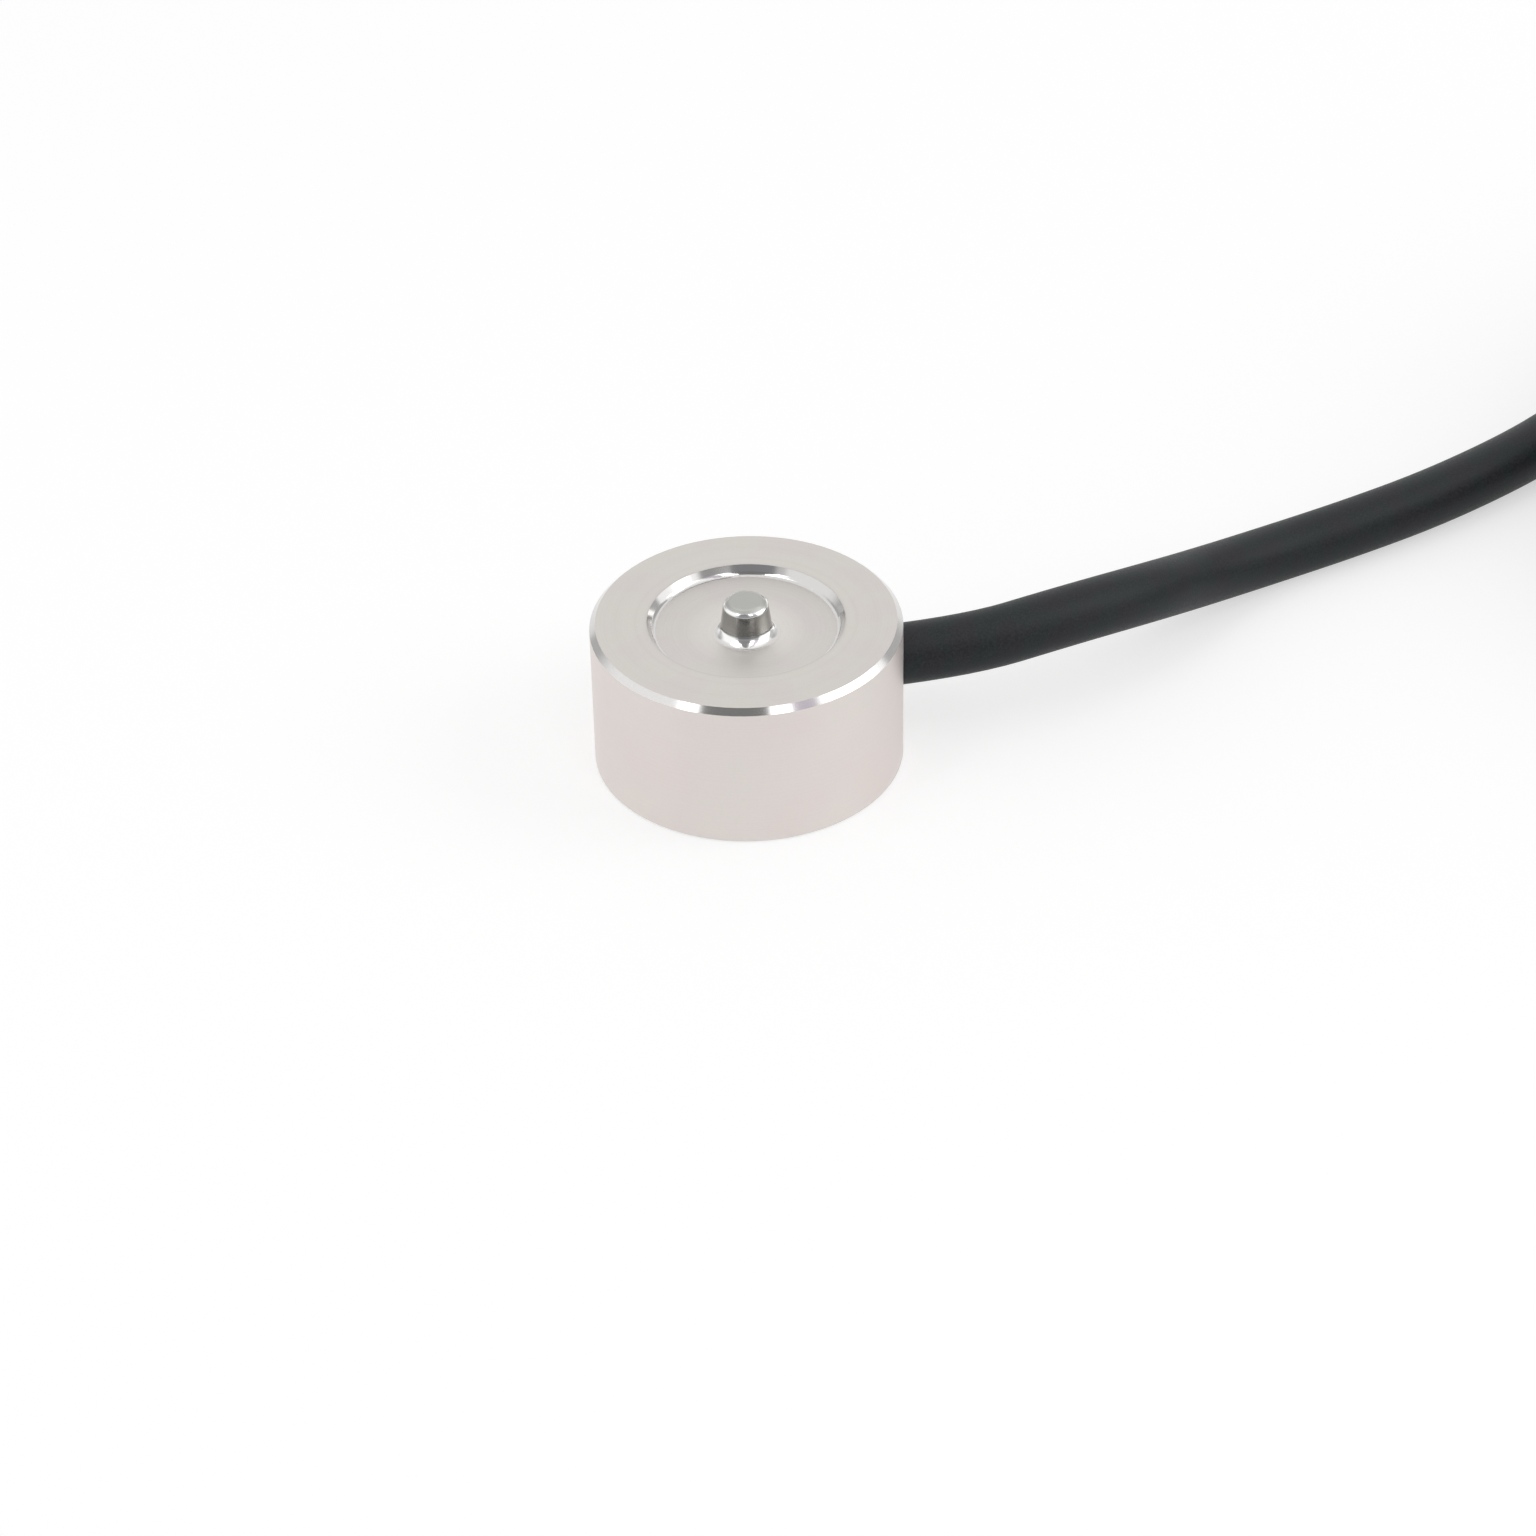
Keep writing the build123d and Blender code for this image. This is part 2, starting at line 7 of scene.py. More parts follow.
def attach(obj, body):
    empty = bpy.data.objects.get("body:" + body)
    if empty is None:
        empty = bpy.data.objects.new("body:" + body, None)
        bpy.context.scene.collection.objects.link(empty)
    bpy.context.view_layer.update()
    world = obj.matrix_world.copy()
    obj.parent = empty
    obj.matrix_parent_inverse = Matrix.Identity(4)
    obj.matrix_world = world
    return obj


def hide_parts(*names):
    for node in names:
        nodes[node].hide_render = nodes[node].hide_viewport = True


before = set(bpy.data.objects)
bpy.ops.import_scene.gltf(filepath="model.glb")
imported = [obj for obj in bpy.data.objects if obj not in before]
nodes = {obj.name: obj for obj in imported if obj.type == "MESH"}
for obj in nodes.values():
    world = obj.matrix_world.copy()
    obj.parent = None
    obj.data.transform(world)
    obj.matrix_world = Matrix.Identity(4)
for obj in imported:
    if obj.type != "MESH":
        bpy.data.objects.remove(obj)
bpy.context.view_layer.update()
MM = 0.001

# Camera: the photograph is square, and the body's outline in it gave these values, in metres and degrees
# where they are neither pixels nor the sensor's width
PHOTO_PIXELS = 1536
FOCAL_PIXELS = 4500
SENSOR_MM = 36.0
BASE_PIXEL = (749.4, 749.1)
CAMERA_DISTANCE = 0.2192
CAMERA_PITCH = 36.45
CAMERA_ROLL = -1.29
CAMERA_TURN = -8.0

# How near and how far the camera sees, in metres
CAMERA_CLIP = (0.01, 20.0)

# Floor in metres, and what it adds to its own shade where it is background
FLOOR_SIZE = 6.0
FLOOR_COLOR = (0.52, 0.52, 0.52)
FLOOR_LIFT = 0.56

# Surroundings that gloss reflects: (azimuth, level or colour) low and high, with azimuth 0 at the camera's
# side and 90 at its right, and the elevations over which low turns to high
DARK_GAP = (0.32, 0.32, 0.34)
LILAC_GAP = (0.70, 0.64, 0.72)
SURROUNDINGS_LOW = (
    (-180, 1.07), (-155, 1.0), (-141, 0.92), (-136, 0.56), (-126, 0.56), (-114, 1.0), (-106, 1.1),
    (-52, 1.1), (-46, 0.73), (-40, 0.73), (-34, DARK_GAP), (12, DARK_GAP), (18, 0.42), (52, 0.44),
    (59, 1.35), (111, 1.35), (116, 0.56), (134, 0.56), (143, 0.8), (158, 1.0), (180, 1.07),
)
SURROUNDINGS_HIGH = (
    (-180, 1.07), (-104, 1.1), (-60, 1.1), (-58, 1.6), (-43, 1.6), (-40, 0.25), (17, 0.25), (20, 1.6),
    (37, 1.6), (40, LILAC_GAP), (57, LILAC_GAP), (60, 1.35), (111, 1.35), (116, 1.07), (180, 1.07),
)
LOW_TO_HIGH = (34, 41)
ROOM_LIGHT = 0.65

# Softboxes: the azimuths and the elevations that each one fills, its brightness, and how far off in metres
SOFTBOXES = {
    "softbox_left": ((-58, -43), (42, 72), 1.7),
    "softbox_high_left": ((-98, -62), (58, 76), 1.5),
    "softbox_right": ((21, 37), (42, 72), 1.7),
    "softbox_far_right": ((66, 106), (21, 50), 1.4),
}
SOFTBOX_DISTANCE = 0.6

# Turned body, in millimetres: the places that its finish follows, and how deep its relief is
RECESS_RADIUS = 4.75
EDGE_LINE_WIDTH = 0.12
DIAPHRAGM_EDGE = (4.4, 4.45)
# Diaphragm's painted light round the button: whole out to the first radius, gone by the second
DIAPHRAGM_PAINTED_LIGHT_SPAN = (1.6, 3.2)
RECESS_FOOT_RADIUS = 4.34
RECESS_FOOT_WIDTH = 0.21
RECESS_FOOT_DEPTH = 0.08
DISH_SLOPE = 0.083
BUTTON_ROOT_RADIUS = 1.65
BUTTON_ROOT = 6.98
BUTTON_ROOT_BLEND = 0.12
BUTTON_FLARE = 0.52
BUTTON_FLARE_DEPTH = 0.20
# Button's painted shade: a dark band round this height, whole within the first distance of it and gone at
# the second
BUTTON_WAIST = 7.93
BUTTON_PAINTED_SHADE_ENDS = (0.49, 0.62)
BUTTON_END = (8.60, 8.66)
POLISH_BLEND = 0.1
LINES_DEPTH = 0.004
GRAIN_DEPTH = 0.002

# Turned body's faces by the Z of their normal, which is 0 on an upright face and 1 on a level one
SLOPED_FROM = (0.05, 0.12)
SLOPED_TO = (0.96, 0.99)
UPRIGHT_TO = (0.05, 0.5)

# Turned body's colours, as a pair where faint clouds or grain turn one to the other
RING_DARK = ((0.619, 0.596, 0.563), (0.619, 0.586, 0.566))
RING_PALE = ((0.634, 0.611, 0.578), (0.634, 0.601, 0.581))
EDGE_LINE_COLOR = (0.565, 0.545, 0.525)
DIAPHRAGM_COLORS = ((0.622, 0.599, 0.570), (0.622, 0.590, 0.573))
# Painted light: the diaphragm paler round the button, lifting the button's shadow and dark reflection there
DIAPHRAGM_PAINTED_LIGHT = (0.700, 0.672, 0.645)
SIDE_COLORS = ((0.768, 0.722, 0.692), (0.772, 0.712, 0.688))
CHAMFER_COLORS = ((0.680, 0.670, 0.660), (0.705, 0.695, 0.685))
RECESS_WALL_COLOR = (0.630, 0.622, 0.612)
BUTTON_ROOT_COLOR = (0.64, 0.63, 0.62)
# Painted highlight: the button's flare almost white, as its polished foot shines
BUTTON_FLARE_PAINTED_HIGHLIGHT = (0.88, 0.88, 0.87)
# Painted shade: the button's side far darker than the same steel elsewhere, for the dark surroundings it
# reflects
BUTTON_SIDE_PAINTED_SHADE = (0.375, 0.375, 0.36)
# Painted shade: the button's end darker than the same steel elsewhere, for the darker surroundings it
# reflects
BUTTON_END_PAINTED_SHADE = (0.450, 0.454, 0.430)

# Turned body's roughness: satin as the turning lines vary it, what grain adds, what a glancing angle takes
# away and over which part of the way to grazing it does, and the polished faces
SATIN_ROUGHNESS = (0.46, 0.54)
GRAIN_ROUGHNESS = 0.05
GLANCING_GLOSS = 0.34
GLANCING_SPAN = (0.5, 0.64)
POLISHED_ROUGHNESS = 0.12

# Turned body's noises, in features to a millimetre
FINE_LINES = 14.0
BROAD_LINES = 1.3
STEEL_GRAIN = 9.0
TINT_CLOUDS = 0.4
SIDE_CLOUDS = 0.25

# Noise from 0 to 1 stays mostly within the first of these, and the others take more and more of its middle
NOISE_SPAN = (0.3, 0.7)
SIDE_SPAN = (0.35, 0.65)
CLOUD_SPAN = (0.4, 0.6)

# Mottled materials: how many times finer grain is than clouds, and by what share of itself roughness varies
GRAIN_FINENESS = 6
ROUGHNESS_SHARE = 0.15

# Resistor chips, in millimetres: from where the tinned cap begins to where it is whole
CHIP_CAP = (0.24, 0.26)

# Cable, in millimetres: its straight start in the bore, then out, down to the surface and along it
CABLE_DIAMETER = 3.0
EXIT_HEIGHT = 4.7
CABLE_START = (5.0, 0.0, EXIT_HEIGHT)
CABLE_ROUTE = (
    (10.3, 0.0, EXIT_HEIGHT),
    (16.0, 1.8, 4.7),
    (20.3, 4.1, 3.9),
    (23.9, 7.3, 2.3),
    (28.2, 9.8, 1.5),
    (33.0, 11.5, 1.5),
    (37.9, 13.5, 1.5),
)

# How finely the cable's mesh follows its line and its round section
CABLE_STEPS_PER_POINT = 8
CABLE_ROUND_STEPS = 10

# Put-away coil: rows of spiral turns, wound in, out and in again, lying on two ties
COIL_CENTRE = (73.09, 8.6)
COIL_INNER_TURN = 11.5
COIL_TURNS_PER_ROW = 4
COIL_ROWS = 3
COIL_ENTRY_ANGLE = 125.0
COIL_LEAD_IN = 16.0
COIL_APPROACH = 4.15
COIL_BOTTOM = 0.8
COIL_RISE_ANGLE = 90.0
COIL_FIRST_RISE_ANGLE = 60.0
COIL_POINTS_PER_TURN = 16
TAIL_ROUTE = (
    (79.8, -0.9, 8.3),
    (75.2, -2.9, 8.8),
    (70.1, -3.0, 10.1),
    (65.1, -1.2, 11.3),
    (61.2, 2.2, 11.7),
    (58.5, 6.6, 11.72),
    (57.4, 12.1, 11.72),
)


def place_camera():
    """The camera at the photograph's viewing angle, turned from the picture's axes to the cell's."""
    pitch = radians(CAMERA_PITCH)
    roll = radians(CAMERA_ROLL)
    forward = Vector((0, cos(pitch), -sin(pitch)))
    level_up = Vector((0, sin(pitch), cos(pitch)))
    level_right = Vector((1, 0, 0))
    right = cos(roll) * level_right + sin(roll) * level_up
    up = cos(roll) * level_up - sin(roll) * level_right
    across = (BASE_PIXEL[0] - PHOTO_PIXELS / 2) / FOCAL_PIXELS
    rise = (PHOTO_PIXELS / 2 - BASE_PIXEL[1]) / FOCAL_PIXELS
    place = -CAMERA_DISTANCE * (forward + across * right + rise * up)
    axes = Matrix((right, up, -forward)).transposed().to_4x4()
    camera = bpy.data.objects.new("camera", bpy.data.cameras.new("camera"))
    camera.data.sensor_width = SENSOR_MM
    camera.data.lens = FOCAL_PIXELS / PHOTO_PIXELS * SENSOR_MM
    camera.data.clip_start, camera.data.clip_end = CAMERA_CLIP
    camera.matrix_world = Matrix.Rotation(radians(CAMERA_TURN), 4, "Z") @ Matrix.Translation(place) @ axes
    bpy.context.scene.collection.objects.link(camera)
    bpy.context.scene.camera = camera


def coil_point(radius, angle, height):
    """A point given by its distance and angle from the middle of the coil."""
    x = COIL_CENTRE[0] + radius * cos(radians(angle))
    y = COIL_CENTRE[1] + radius * sin(radians(angle))
    return (x, y, height)


def coil_entry():
    """The two points of the straight way into the coil."""
    touch = coil_point(COIL_INNER_TURN + COIL_TURNS_PER_ROW * CABLE_DIAMETER, COIL_ENTRY_ANGLE, 0)
    heading = radians(COIL_ENTRY_ANGLE - 90)
    points = []
    for back in (COIL_LEAD_IN + COIL_APPROACH, COIL_LEAD_IN):
        points.append((touch[0] - back * cos(heading), touch[1] - back * sin(heading), CABLE_DIAMETER / 2))
    return points


def eased(share):
    """From 0 to 1, slow at both ends."""
    share = min(max(share, 0.0), 1.0)
    return share * share * (3 - 2 * share)


def coil_turns():
    """Corners of the line round the turns, clockwise from the entry."""
    step = 360 / COIL_POINTS_PER_TURN
    reach = 1 / cos(radians(step / 2))
    row_angle = 360 * COIL_TURNS_PER_ROW
    whole = COIL_ROWS * row_angle + (COIL_ROWS - 1) * COIL_RISE_ANGLE
    points = []
    for number in range(int(whole / step)):
        turned = (number + 0.5) * step
        row = int(turned // (row_angle + COIL_RISE_ANGLE))
        along = turned - row * (row_angle + COIL_RISE_ANGLE)
        wound = min(along / row_angle, 1.0)
        outwards = wound if row % 2 else 1 - wound
        radius = COIL_INNER_TURN + outwards * COIL_TURNS_PER_ROW * CABLE_DIAMETER
        level = row + eased((along - row_angle) / COIL_RISE_ANGLE)
        height = COIL_BOTTOM * eased(turned / COIL_FIRST_RISE_ANGLE) + (level + 0.5) * CABLE_DIAMETER
        points.append(coil_point(radius * reach, COIL_ENTRY_ANGLE - turned, height))
    return points


def smooth_curve(name, points, diameter):
    """A round curve object along one smooth spline with these control points, in millimetres."""
    data = bpy.data.curves.new(name, "CURVE")
    data.dimensions = "3D"
    spline = data.splines.new("NURBS")
    spline.points.add(len(points) - 1)
    for point, place in zip(spline.points, points):
        point.co = (place[0] * MM, place[1] * MM, place[2] * MM, 1)
        point.radius = diameter / 2 * MM
    spline.order_u = 3
    spline.use_endpoint_u = True
    spline.use_smooth = True
    data.resolution_u = CABLE_STEPS_PER_POINT
    # The points' radii scale this bevel, so it is one metre
    data.bevel_depth = 1.0
    data.bevel_resolution = CABLE_ROUND_STEPS
    data.use_fill_caps = True
    obj = bpy.data.objects.new(name, data)
    bpy.context.scene.collection.objects.link(obj)
    return obj


def make_cable():
    """The whole cable as one cord: out of the bore, along the surface, round the coil and over its top."""
    points = [CABLE_START, *CABLE_ROUTE, *coil_entry(), *coil_turns(), *TAIL_ROUTE]
    cable = smooth_curve("cable_jacket", points, CABLE_DIAMETER)
    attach(cable, "root")
    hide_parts("cable", "cable_coil")
    on_cable = ["coil_tie_1", "coil_tie_2", "end_sleeve", "outer_core_ends", "drain_wire"]
    on_cable += ["outer_core_red", "outer_core_black", "outer_core_green", "outer_core_white"]
    return cable


class Nodes:
    """Short ways to add nodes to a tree and join them."""

    def __init__(self, tree):
        self.tree = tree

    def add(self, kind):
        """A new node of this kind."""
        return self.tree.nodes.new("ShaderNode" + kind)

    def join(self, socket, value):
        """Sets a socket to a value, or joins it to an output."""
        if isinstance(value, bpy.types.NodeSocket):
            self.tree.links.new(value, socket)
        elif isinstance(value, tuple) and len(value) == 3 and socket.type == "RGBA":
            socket.default_value = (*value, 1)
        else:
            socket.default_value = value

    def math(self, operation, *values):
        """A number worked out from one or two others."""
        node = self.add("Math")
        node.operation = operation
        for socket, value in zip(node.inputs, values):
            self.join(socket, value)
        return node.outputs["Value"]

    def plus(self, a, b):
        """The sum of two numbers."""
        return self.math("ADD", a, b)

    def minus(self, a, b):
        """Number a less number b."""
        return self.math("SUBTRACT", a, b)

    def times(self, a, b):
        """The product of two numbers."""
        return self.math("MULTIPLY", a, b)

    def parts(self, vector):
        """The X, Y and Z of a vector."""
        node = self.add("SeparateXYZ")
        self.join(node.inputs[0], vector)
        return node.outputs["X"], node.outputs["Y"], node.outputs["Z"]

    def whole(self, x, y, z):
        """A vector from its X, Y and Z."""
        node = self.add("CombineXYZ")
        for socket, value in zip(node.inputs, (x, y, z)):
            self.join(socket, value)
        return node.outputs["Vector"]

    def stretch(self, value, start, end, low=0.0, high=1.0):
        """The value's way from start to end, smoothly, as a number from low to high."""
        node = self.add("MapRange")
        node.interpolation_type = "SMOOTHSTEP"
        for name, setting in zip(("Value", "From Min", "From Max", "To Min", "To Max"),
                                 (value, start, end, low, high)):
            self.join(node.inputs[name], setting)
        return node.outputs["Result"]

    def until(self, value, start, end):
        """1 up to start and 0 from end on, and smoothly between."""
        return self.stretch(value, start, end, 1, 0)

    def mix(self, share, a, b):
        """Colour a, turning to colour b as share goes from 0 to 1."""
        node = self.add("Mix")
        node.data_type = "RGBA"
        colors = [socket for socket in node.inputs if socket.type == "RGBA"]
        self.join(node.inputs["Factor"], share)
        self.join(colors[0], a)
        self.join(colors[1], b)
        return [socket for socket in node.outputs if socket.type == "RGBA"][0]

    def ramp(self, value, start, end, stops):
        """A level that follows the (value, level or colour) stops between start and end."""
        node = self.add("ValToRGB")
        self.join(node.inputs["Fac"], self.math("DIVIDE", self.minus(value, start), end - start))
        elements = node.color_ramp.elements
        while len(elements) < len(stops):
            elements.new(0.5)
        for element, (place, level) in zip(elements, stops):
            element.position = (place - start) / (end - start)
            element.color = (*level, 1) if isinstance(level, tuple) else (level, level, level, 1)
        return node.outputs["Color"]


class Surface(Nodes):
    """One node material: its shader, its coordinates in millimetres and its bump."""

    def __init__(self, name, color=(0.5, 0.5, 0.5), roughness=0.5, metallic=0.0):
        self.material = bpy.data.materials.new(name)
        self.material.use_nodes = True
        super().__init__(self.material.node_tree)
        self.shader = self.tree.nodes["Principled BSDF"]
        self.shader.inputs["Base Color"].default_value = (*color, 1)
        self.shader.inputs["Roughness"].default_value = roughness
        self.shader.inputs["Metallic"].default_value = metallic
        scaled = self.add("VectorMath")
        scaled.operation = "SCALE"
        scaled.inputs["Scale"].default_value = 1 / MM
        self.join(scaled.inputs[0], self.add("TexCoord").outputs["Object"])
        self.place = scaled.outputs["Vector"]

    def noise(self, scale, vector=None, detail=2.0, roughness=0.5):
        """Noise from 0 to 1, with so many features to a millimetre."""
        node = self.add("TexNoise")
        self.join(node.inputs["Vector"], vector if vector is not None else self.place)
        node.inputs["Scale"].default_value = scale
        node.inputs["Detail"].default_value = detail
        node.inputs["Roughness"].default_value = roughness
        return node.outputs["Fac"]

    def moved(self, offset):
        """The place, moved by this many millimetres to where noise has another form."""
        node = self.add("VectorMath")
        node.operation = "ADD"
        self.join(node.inputs[0], self.place)
        self.join(node.inputs[1], offset)
        return node.outputs["Vector"]

    def from_axis(self):
        """The distance from the object's Z axis, in millimetres."""
        x, y = self.parts(self.place)[:2]
        return self.math("SQRT", self.plus(self.times(x, x), self.times(y, y)))

    def bump(self, height, depth, before=None, strength=1.0):
        """A normal bumped by a height whose unit is so many millimetres, on top of the bump before it."""
        node = self.add("Bump")
        node.inputs["Distance"].default_value = depth * MM
        self.join(node.inputs["Height"], height)
        self.join(node.inputs["Strength"], strength)
        if before is not None:
            self.join(node.inputs["Normal"], before)
        return node.outputs["Normal"]

    def set(self, **values):
        """Joins or sets the shader's own sockets, with _ for a space in their names."""
        for name, value in values.items():
            self.join(self.shader.inputs[name.replace("_", " ")], value)


class TurnedSteel(Surface):
    """Satin turned stainless steel: lines round the axis, and polished chamfers, recess wall and button."""

    def __init__(self):
        super().__init__("turned_stainless", metallic=1.0)
        self.radius = self.from_axis()
        self.height = self.parts(self.place)[2]
        self.section = self.whole(self.radius, self.height, 0.0)
        self.lines = self.noise(FINE_LINES, self.section, detail=3.0)
        self.grain = self.noise(STEEL_GRAIN, detail=3.0)
        self.find_faces()
        self.set(Base_Color=self.color(), Roughness=self.roughness(), Normal=self.relief())

    def find_faces(self):
        """Numbers that are 1 on the faces that they are named after and 0 on the others."""
        lean = self.math("ABSOLUTE", self.parts(self.add("TexCoord").outputs["Normal"])[2])
        self.upright = self.until(lean, *UPRIGHT_TO)
        self.sloped = self.times(self.stretch(lean, *SLOPED_FROM), self.until(lean, *SLOPED_TO))
        self.near_button = self.until(self.radius, BUTTON_ROOT_RADIUS, BUTTON_ROOT_RADIUS + POLISH_BLEND)
        self.button_end = self.stretch(self.height, *BUTTON_END)
        self.polished = self.times(self.sloped, self.minus(1.0, self.button_end))
        self.satin = self.minus(1.0, self.polished)

    def level_color(self):
        """The ring with its broad turning bands and the line at its inner edge, and the diaphragm with
        painted light round the button.
        """
        tint = self.stretch(self.noise(TINT_CLOUDS), *CLOUD_SPAN)
        bands = self.stretch(self.noise(BROAD_LINES, self.section), *NOISE_SPAN)
        ring = self.mix(bands, self.mix(tint, *RING_DARK), self.mix(tint, *RING_PALE))
        off_edge = self.math("ABSOLUTE", self.minus(self.radius, RECESS_RADIUS))
        ring = self.mix(self.until(off_edge, 0, EDGE_LINE_WIDTH), ring, EDGE_LINE_COLOR)
        diaphragm = self.mix(tint, *DIAPHRAGM_COLORS)
        # Painted light: the diaphragm paler round the button, where the button's shadow falls
        middle = self.until(self.radius, *DIAPHRAGM_PAINTED_LIGHT_SPAN)
        diaphragm = self.mix(middle, diaphragm, DIAPHRAGM_PAINTED_LIGHT)
        return self.mix(self.until(self.radius, *DIAPHRAGM_EDGE), ring, diaphragm)

    def polished_color(self):
        """The outer chamfer and, inside it, the recess wall."""
        chamfer = self.mix(self.stretch(self.grain, *NOISE_SPAN), *CHAMFER_COLORS)
        wall = self.until(self.radius, RECESS_RADIUS, RECESS_RADIUS + POLISH_BLEND)
        return self.mix(wall, chamfer, RECESS_WALL_COLOR)

    def color(self):
        """The colour of each face, with the button over the rest: a painted highlight above its root,
        painted shade on its side and on its end.
        """
        side = self.mix(self.stretch(self.noise(SIDE_CLOUDS), *SIDE_SPAN), *SIDE_COLORS)
        color = self.mix(self.upright, self.level_color(), side)
        color = self.mix(self.sloped, color, self.polished_color())
        button = self.times(self.sloped, self.near_button)
        # Painted highlight on the button's flare above its root
        above_root = self.stretch(self.height, BUTTON_ROOT, BUTTON_ROOT + BUTTON_ROOT_BLEND)
        color = self.mix(button, color, self.mix(above_root, BUTTON_ROOT_COLOR, BUTTON_FLARE_PAINTED_HIGHLIGHT))
        # Painted shade on the button's side, in a band round its waist
        from_waist = self.math("ABSOLUTE", self.minus(self.height, BUTTON_WAIST))
        button_painted_shade = self.times(button, self.until(from_waist, *BUTTON_PAINTED_SHADE_ENDS))
        color = self.mix(button_painted_shade, color, BUTTON_SIDE_PAINTED_SHADE)
        # Painted shade on the button's end
        return self.mix(self.button_end, color, BUTTON_END_PAINTED_SHADE)

    def roughness(self):
        """Satin that its lines and grain vary, glossier at a glancing angle, and the polished faces."""
        lines = self.stretch(self.lines, *NOISE_SPAN, *SATIN_ROUGHNESS)
        dull = self.plus(lines, self.stretch(self.grain, *NOISE_SPAN, 0, GRAIN_ROUGHNESS))
        glancing = self.stretch(self.add("LayerWeight").outputs["Facing"], *GLANCING_SPAN)
        glancing = self.times(glancing, self.minus(1.0, self.upright))
        dull = self.minus(dull, self.times(glancing, GLANCING_GLOSS))
        return self.plus(self.times(dull, self.satin), self.times(self.polished, POLISHED_ROUGHNESS))

    def relief(self):
        """The dish shaded flat, wide roundings at the foot of wall and button, turning lines and grain."""
        dish = self.math("MAXIMUM", self.radius, BUTTON_ROOT_RADIUS)
        dish = self.math("MINIMUM", dish, RECESS_FOOT_RADIUS)
        normal = self.bump(self.minus(RECESS_FOOT_RADIUS, dish), DISH_SLOPE)
        foot = self.until(self.radius, RECESS_FOOT_RADIUS, RECESS_FOOT_RADIUS + RECESS_FOOT_WIDTH)
        normal = self.bump(foot, RECESS_FOOT_DEPTH, normal)
        flare = self.until(self.height, BUTTON_ROOT, BUTTON_ROOT + BUTTON_FLARE)
        normal = self.bump(flare, BUTTON_FLARE_DEPTH, normal, self.near_button)
        normal = self.bump(self.times(self.lines, self.satin), LINES_DEPTH, normal)
        return self.bump(self.times(self.grain, self.satin), GRAIN_DEPTH, normal)


def cover_steel():
    """Plain stainless disc, turned flat."""
    dark = (0.56, 0.55, 0.53)
    pale = (0.66, 0.65, 0.63)
    lines_per_mm = 8.0
    lines_depth = 0.006
    lines_span = (0.2, 0.8)
    roughness = (0.32, 0.48)
    surface = Surface("cover_stainless", metallic=1.0)
    height = surface.parts(surface.place)[2]
    lines = surface.noise(lines_per_mm, surface.whole(surface.from_axis(), height, 0.0), detail=3.0)
    surface.set(Base_Color=surface.mix(lines, dark, pale), Normal=surface.bump(lines, lines_depth),
                Roughness=surface.stretch(lines, *lines_span, *roughness))
    return surface.material


def mottled(name, dark, light, roughness, scale=3.0, depth=0.01, metallic=0.0, coat=0.0):
    """A material whose colour, roughness and height vary a little from place to place."""
    surface = Surface(name, metallic=metallic)
    cloud = surface.noise(scale, detail=3.0)
    grain = surface.noise(scale * GRAIN_FINENESS)
    smoother = roughness * (1 - ROUGHNESS_SHARE)
    rougher = roughness * (1 + ROUGHNESS_SHARE)
    surface.set(Base_Color=surface.mix(cloud, dark, light), Coat_Weight=coat,
                Roughness=surface.stretch(grain, *NOISE_SPAN, smoother, rougher),
                Normal=surface.bump(grain, depth))
    return surface.material


def jacket():
    """Matt black extruded cable jacket: fine pale grain over faint, cool clouds."""
    dark_hues = ((0.0105, 0.0105, 0.0135), (0.0085, 0.0125, 0.0125))
    pale_hues = ((0.0235, 0.0230, 0.0285), (0.0175, 0.0265, 0.0265))
    cloud_color = (0.030, 0.032, 0.034)
    cloud_share = 0.25
    speck_color = (0.07, 0.07, 0.075)
    speck_share = 0.3
    speck_span = (0.62, 0.74)
    grain_span = (0.32, 0.68)
    grain_depth = 0.012
    roughness = (0.42, 0.58)
    surface = Surface("cable_jacket")
    grain = surface.noise(9.0, detail=3.0, roughness=0.6)
    cloud = surface.noise(0.45)
    hue = surface.stretch(surface.noise(0.7, surface.moved((40.0, 0.0, 0.0))), *CLOUD_SPAN)
    specks = surface.stretch(surface.noise(16.0, detail=1.0), *speck_span)
    dark = surface.mix(hue, *dark_hues)
    pale = surface.mix(hue, *pale_hues)
    color = surface.mix(surface.stretch(grain, *grain_span), dark, pale)
    color = surface.mix(surface.times(cloud, cloud_share), color, cloud_color)
    color = surface.mix(surface.times(specks, speck_share), color, speck_color)
    surface.set(Base_Color=color, Roughness=surface.stretch(grain, *NOISE_SPAN, *roughness),
                Normal=surface.bump(grain, grain_depth), Specular_IOR_Level=0.25)
    return surface.material


def tinned_strands():
    """Bundle of tinned copper strands that lies along X, with a slow twist."""
    between = (0.42, 0.42, 0.43)
    strand = (0.76, 0.76, 0.77)
    strand_span = (0.35, 0.6)
    strand_depth = 0.05
    stretch_along = 0.12
    twist = 0.25
    roughness = (0.36, 0.24)
    surface = Surface("tinned_copper", metallic=1.0)
    x, y, z = surface.parts(surface.place)
    twisted = surface.whole(surface.times(x, stretch_along), y, surface.plus(z, surface.times(x, twist)))
    strands = surface.noise(9.0, twisted, detail=1.0)
    surface.set(Base_Color=surface.mix(surface.stretch(strands, *strand_span), between, strand),
                Roughness=surface.stretch(strands, *NOISE_SPAN, *roughness),
                Normal=surface.bump(strands, strand_depth))
    return surface.material


